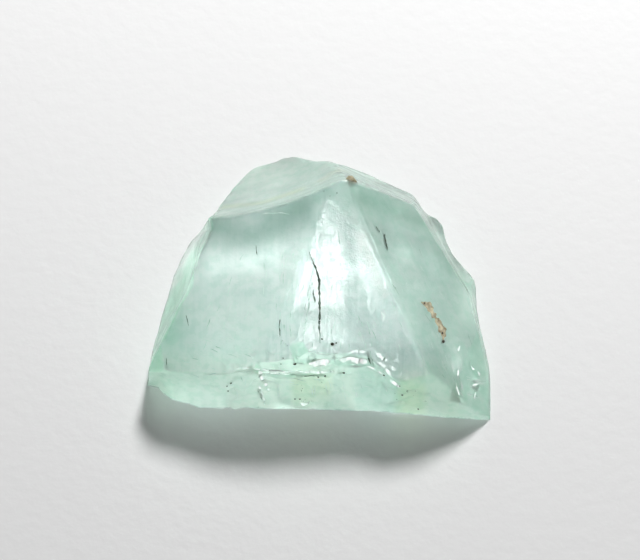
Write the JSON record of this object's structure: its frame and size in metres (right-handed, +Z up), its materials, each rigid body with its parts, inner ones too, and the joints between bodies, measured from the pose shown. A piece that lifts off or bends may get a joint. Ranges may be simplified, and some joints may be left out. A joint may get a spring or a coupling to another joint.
{
  "type": "phosphophyllite crystal",
  "caption": "Pale sea-green transparent crystal fragment: flat growth faces rise to an apex, broken walls and rippled breaks around and behind it, and a flat base to lie on.",
  "frame": {"origin": "middle of the flat base, under the middle of the bounding box", "axes": "+X to the right along the broken front edge, +Y from the front edge to the back, +Z up from the base"},
  "size_m": [0.012, 0.0104, 0.0049],
  "materials": {
    "crystal": "clear pale sea-green crystal, glossy on its growth faces and satin on its broken walls"
  },
  "bodies": {
    "root": {"crystal": "crystal"}
  },
  "joints": []
}
